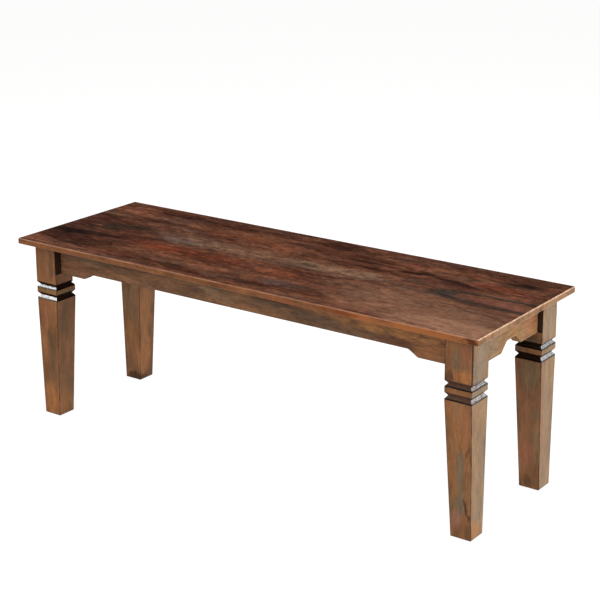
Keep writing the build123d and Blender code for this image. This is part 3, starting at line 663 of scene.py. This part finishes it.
def plainWood(name, look):
    # What the eye gets: an even light wood with soft streaks, dull, with faint marks of the saw
    # across it
    material, tree = newMaterial(name)
    place = addNode(tree, "ShaderNodeTexCoord").outputs["Object"]
    streaks = figure(tree, place, look["grain"], look["streaks"], (3, 1, 0),
                     detail=4.0, roughness=0.6)
    colour = addNode(tree, "ShaderNodeValToRGB", {0: streaks.outputs[0]}, stops=look["tones"])
    saw = addNode(tree, "ShaderNodeTexWave", {
        "Vector": place, "Scale": look["sawMarks"], "Distortion": 1.5, "Detail": 2.0},
        bands_direction=look["grain"].upper())
    height = addNode(tree, "ShaderNodeMath", {0: saw.outputs[1], 1: streaks.outputs[0]},
                     operation="ADD")
    bump = addNode(tree, "ShaderNodeBump", {
        "Height": height.outputs[0], "Strength": 0.5, "Distance": 0.0003})
    shader = addNode(tree, "ShaderNodeBsdfPrincipled", {
        "Base Color": colour.outputs[0], "Roughness": look["roughness"], "IOR": 1.5,
        "Normal": bump.outputs[0]})
    addNode(tree, "ShaderNodeOutputMaterial", {0: shader.outputs[0]})
    return material


# hardwood, sawn and planed. Streaks are length and width (m), and saw marks a wave's scale
hardwood = dict(
    grain="x", streaks=(0.12, 0.006), sawMarks=60.0, roughness=0.7,
    tones=[(0.25, "#5e432b"), (0.45, "#7a5a3c"), (0.60, "#8c6a48"), (0.75, "#74563a")])
beechDowel = dict(
    grain="y", streaks=(0.12, 0.006), sawMarks=150.0, roughness=0.65,
    tones=[(0.25, "#b8925f"), (0.50, "#cba574"), (0.75, "#bd9866")])
dress(["corner_brace_" + corner for corner in corners], plainWood("hardwood braces", hardwood))
dress(["cross_rail"], plainWood("hardwood rail", {**hardwood, "grain": "y"}))
dress(["top_buttons"], plainWood("hardwood buttons", {**hardwood, "sawMarks": 80.0}))
dress(["top_dowels"], plainWood("beech dowels", beechDowel))

zinc = dict(clouds=350.0, tones=[(0.3, "#a3a5a4"), (0.7, "#c3c4c0")],    # clouds in a metre
            smoothest=0.28, roughest=0.42)


def zincSteel():
    # What the eye gets: a cool grey metal, a little cloudy, with the plating's soft spangle
    material, tree = newMaterial("zinc plated steel")
    place = addNode(tree, "ShaderNodeTexCoord").outputs["Object"]
    cloud = addNode(tree, "ShaderNodeTexNoise", {
        "Vector": place, "Scale": zinc["clouds"], "Detail": 3.0})
    colour = addNode(tree, "ShaderNodeValToRGB", {0: cloud.outputs[0]}, stops=zinc["tones"])
    roughness = addNode(tree, "ShaderNodeMapRange", {
        "Value": cloud.outputs[0], "From Min": 0.3, "From Max": 0.7,
        "To Min": zinc["smoothest"], "To Max": zinc["roughest"]})
    shader = addNode(tree, "ShaderNodeBsdfPrincipled", {
        "Base Color": colour.outputs[0], "Metallic": 1.0, "Roughness": roughness.outputs[0]})
    addNode(tree, "ShaderNodeOutputMaterial", {0: shader.outputs[0]})
    return material


nylon = dict(texture=900.0, tones=[(0.3, "#14110e"), (0.7, "#241f1a")],    # bumps in a metre
             roughness=0.5, depth=0.0001)


def mouldedNylon():
    # What the eye gets: black plastic with a fine moulded texture and a scuffed, softer sheen
    material, tree = newMaterial("moulded nylon")
    place = addNode(tree, "ShaderNodeTexCoord").outputs["Object"]
    fine = addNode(tree, "ShaderNodeTexNoise", {
        "Vector": place, "Scale": nylon["texture"], "Detail": 2.0})
    colour = addNode(tree, "ShaderNodeValToRGB", {0: fine.outputs[0]}, stops=nylon["tones"])
    bump = addNode(tree, "ShaderNodeBump", {
        "Height": fine.outputs[0], "Strength": 0.4, "Distance": nylon["depth"]})
    shader = addNode(tree, "ShaderNodeBsdfPrincipled", {
        "Base Color": colour.outputs[0], "Roughness": nylon["roughness"], "IOR": 1.53,
        "Normal": bump.outputs[0]})
    addNode(tree, "ShaderNodeOutputMaterial", {0: shader.outputs[0]})
    return material


dress(["brace_screws", "rail_screws", "button_screws", "leg_bolts", "leg_bolt_washers",
       "glide_nails"], zincSteel())
dress(["glide_" + corner for corner in corners], mouldedNylon())
print("inner wood, steel and nylon done")

# angles in degrees, lengths in metres, the lens in millimetres
view = dict(azimuth=36.067, elevation=14.953, roll=-0.354, distance=3.438955,
            target=(0.052964, 0.0, 0.575774), lens=93.441, shiftY=-0.15)


def addCamera():
    # the camera looks at the target from distance away. Back, right and up are its axes, and the
    # last two are turned by roll
    azimuth, elevation, roll = (radians(view[k]) for k in ("azimuth", "elevation", "roll"))
    back = Vector((sin(azimuth) * cos(elevation), -cos(azimuth) * cos(elevation), sin(elevation)))
    level = (-back).cross(Vector((0, 0, 1))).normalized()
    upright = level.cross(-back)
    right = level * cos(roll) + upright * sin(roll)
    up = upright * cos(roll) - level * sin(roll)
    data = bpy.data.cameras.new("camera")
    data.sensor_width = 36.0
    data.lens = view["lens"]
    data.shift_y = view["shiftY"]
    camera = bpy.data.objects.new("camera", data)
    axes = Matrix((right, up, back)).transposed().to_4x4()
    camera.matrix_world = Matrix.Translation(
        Vector(view["target"]) + back * view["distance"]) @ axes
    bpy.context.scene.collection.objects.link(camera)
    bpy.context.scene.camera = camera


softboxes = [
    # name, place, aim, width, height (m), watts
    ("key left", (-2.67, -1.44, 2.05), (-0.566, -0.18, 0.31), 0.9, 0.9, 40.0),
    ("front fill", (0.9, -3.7, 2.1), (0.0, 0.0, 0.3), 2.4, 1.6, 105.0),
    ("overhead", (0.4, 0.1, 3.0), (0.0, 0.0, 0.4), 2.6, 1.6, 60.0),
    ("right strip", (2.6, 3.6, 1.9), (0.5, 0.0, 0.3), 1.4, 1.8, 50.0),
    ("low right", (3.4, 0.5, 0.8), (0.5, 0.0, 0.25), 1.0, 0.8, 45.0),
]


def addSoftbox(name, place, aim, width, height, watts):
    data = bpy.data.lights.new(name, "AREA")
    data.shape = "RECTANGLE"
    data.size, data.size_y, data.energy = width, height, watts
    lamp = bpy.data.objects.new(name, data)
    lamp.location = place
    lamp.rotation_euler = (Vector(aim) - Vector(place)).to_track_quat("-Z", "Y").to_euler()
    bpy.context.scene.collection.objects.link(lamp)


studio = dict(
    tint=(1.0, 0.99, 0.975, 1.0), even=0.45,    # the even light all round
    # what the lacquer mirrors: a dim room with a bright panel low behind the bench
    panelTowards=(0.05, 0.80, -0.60), panelBegins=0.78, panelFull=0.95, panel=0.48, room=0.03,
    backdrop="#fefefe")


def addWorld():
    # pale to the camera. The panel is the square of a smooth step of the direction's part
    # towards it
    world = bpy.data.worlds.new("studio")
    world.use_nodes = True
    tree = world.node_tree
    tree.nodes.clear()
    direction = addNode(tree, "ShaderNodeTexCoord").outputs["Generated"]
    towards = addNode(tree, "ShaderNodeVectorMath", {0: direction, 1: studio["panelTowards"]},
                      operation="DOT_PRODUCT").outputs["Value"]
    panel = addNode(tree, "ShaderNodeMapRange", {
        "Value": towards, "From Min": studio["panelBegins"], "From Max": studio["panelFull"]},
        interpolation_type="SMOOTHSTEP").outputs[0]
    squared = addNode(tree, "ShaderNodeMath", {0: panel, 1: panel}, operation="MULTIPLY")
    mirrored = addNode(tree, "ShaderNodeMath", {
        0: squared.outputs[0], 1: studio["panel"], 2: studio["room"]}, operation="MULTIPLY_ADD")
    rays = addNode(tree, "ShaderNodeLightPath").outputs
    light = addNode(tree, "ShaderNodeMix", {
        shareIn: rays["Is Glossy Ray"], numberIn: studio["even"],
        otherNumberIn: mirrored.outputs[0]})
    lit = addNode(tree, "ShaderNodeBackground", {
        "Color": studio["tint"], "Strength": light.outputs[0]})
    backdrop = addNode(tree, "ShaderNodeBackground", {
        "Color": linearColour(studio["backdrop"]), "Strength": 1.0})
    both = addNode(tree, "ShaderNodeMixShader", {
        0: rays["Is Camera Ray"], 1: lit.outputs[0], 2: backdrop.outputs[0]})
    addNode(tree, "ShaderNodeOutputWorld", {0: both.outputs[0]})
    bpy.context.scene.world = world


paper = dict(halfWidth=12.0, tone="#7a7978", roughness=0.9, glow=0.88)    # half width in metres


def addFloor():
    # a pale sheet of paper: mostly its own even light, so shadows stay faint
    half = paper["halfWidth"]
    mesh = bpy.data.meshes.new("floor")
    mesh.from_pydata([(-half, -half, 0), (half, -half, 0), (half, half, 0), (-half, half, 0)],
                     [], [(0, 1, 2, 3)])
    floor = bpy.data.objects.new("floor", mesh)
    bpy.context.scene.collection.objects.link(floor)
    material, tree = newMaterial("pale paper")
    shader = addNode(tree, "ShaderNodeBsdfPrincipled", {
        "Base Color": linearColour(paper["tone"]), "Roughness": paper["roughness"],
        "Specular IOR Level": 0.0, "Emission Color": (1.0, 1.0, 1.0, 1.0),
        "Emission Strength": paper["glow"]})
    addNode(tree, "ShaderNodeOutputMaterial", {0: shader.outputs[0]})
    mesh.materials.append(material)
    floor.visible_glossy = False    # the lacquer mirrors the world's soft light, not the paper


addCamera()
for softbox in softboxes:
    addSoftbox(*softbox)
addWorld()
addFloor()
bpy.context.scene.view_settings.view_transform = "Standard"
print("studio done")
